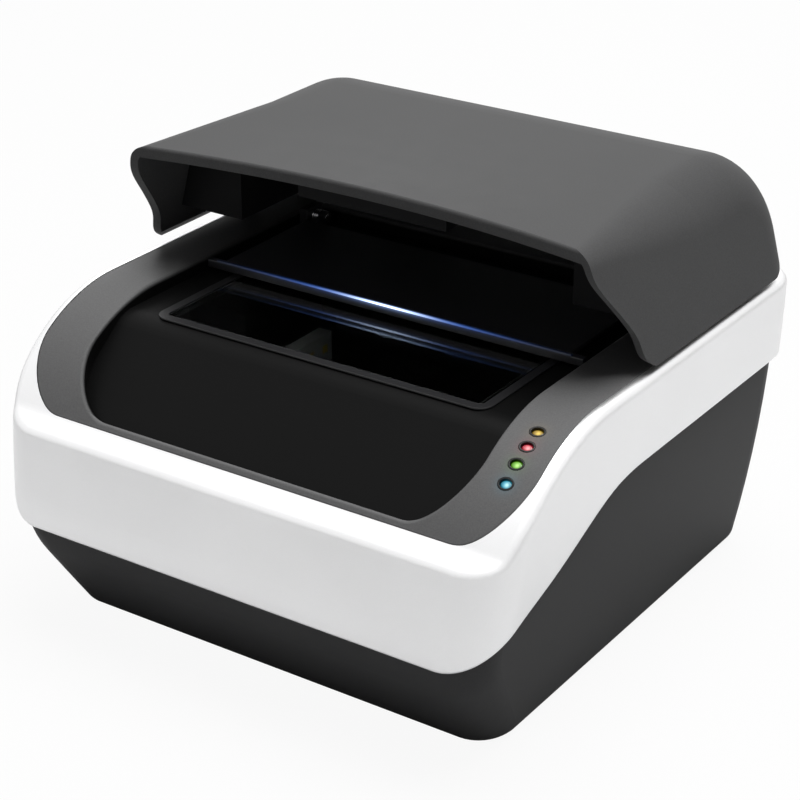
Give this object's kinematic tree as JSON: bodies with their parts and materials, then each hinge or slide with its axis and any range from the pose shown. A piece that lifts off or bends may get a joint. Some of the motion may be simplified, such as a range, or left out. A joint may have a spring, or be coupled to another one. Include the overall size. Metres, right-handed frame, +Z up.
{
  "type": "travel document scanner",
  "caption": "Desktop reader for travel documents: tapered base with a silver band, glass window in a sunken tray, sprung press bar and a rear-hinged hood.",
  "frame": {"origin": "on the floor, under the centre of the bounding box", "axes": "+X to the user's right when facing the front, +Y to the rear, +Z up"},
  "size_m": [0.214, 0.216, 0.1635],
  "materials": {
    "base_plastic": "fine matt texture",
    "tray_plastic": "fine matt texture",
    "hood_plastic": "fine matt texture",
    "liner_plastic": "matt",
    "tunnel_plastic": "dead matt black",
    "press_plastic": "satin",
    "frame_plastic": "satin",
    "band_silver": "satin silver paint",
    "window_glass": "polished",
    "bezel_black": "smooth moulded",
    "screw_steel": "zinc plated",
    "screw_black": "black oxide",
    "pin_steel": "ground",
    "spring_steel": "drawn wire",
    "bracket_steel": "pressed sheet",
    "socket_steel": "tinned shell",
    "socket_black": "moulded",
    "board_green": "solder mask",
    "board_white": "white board with lamps",
    "camera_body": "black anodised",
    "rubber": "soft matt",
    "foam": "fine open foam",
    "light_guide": "lit blue-white",
    "lens_amber": "clear tinted",
    "lens_red": "clear tinted",
    "lens_green": "clear tinted",
    "lens_blue": "clear tinted"
  },
  "bodies": {
    "base": {"base_shell": "base_plastic", "base_plate": "base_plastic", "base_screws": "screw_steel", "rubber_feet": "rubber", "silver_band": "band_silver", "tray_cover": "tray_plastic", "cover_screws": "screw_steel", "cover_bumpers": "rubber", "scan_glass": "window_glass", "glass_frame": "frame_plastic", "indicator_rings": "bezel_black", "indicator_board": "board_green", "light_tunnel": "tunnel_plastic", "antenna_board": "board_green", "light_bar_right": "board_white", "light_bar_left": "board_white", "camera_bracket": "bracket_steel", "camera_module": "camera_body", "camera_lens": "camera_body", "main_board": "board_green", "board_screws": "screw_steel", "usb_socket": "socket_steel", "power_socket": "socket_black", "hinge_bracket_right": "bracket_steel", "hinge_bracket_left": "bracket_steel", "hinge_pin_right": "pin_steel", "hinge_pin_left": "pin_steel", "hinge_screws": "screw_steel", "press_bearing_right": "press_plastic", "press_bearing_left": "press_plastic", "press_springs": "spring_steel", "lens_amber": "lens_amber", "lens_red": "lens_red", "lens_green": "lens_green", "lens_blue": "lens_blue"},
    "hood": {"hood_shell": "hood_plastic", "hood_liner": "liner_plastic", "liner_screws": "screw_black"},
    "press": {"press_plate": "press_plastic", "press_pins": "pin_steel", "press_pad": "foam", "light_strip": "light_guide"}
  },
  "joints": [
    {"name": "hood_hinge", "type": "hinge", "parent": "base", "child": "hood", "pos_m": [0, 0.1035, 0.1195], "axis": [-1, 0, 0], "range_deg": [0, 75]},
    {"name": "press_hinge", "type": "hinge", "parent": "base", "child": "press", "pos_m": [0, 0.052, 0.1135], "axis": [-1, 0, 0], "range_deg": [0, 9], "stiffness_Nm_per_rad": 0.6, "springref_deg": -11.46}
  ]
}
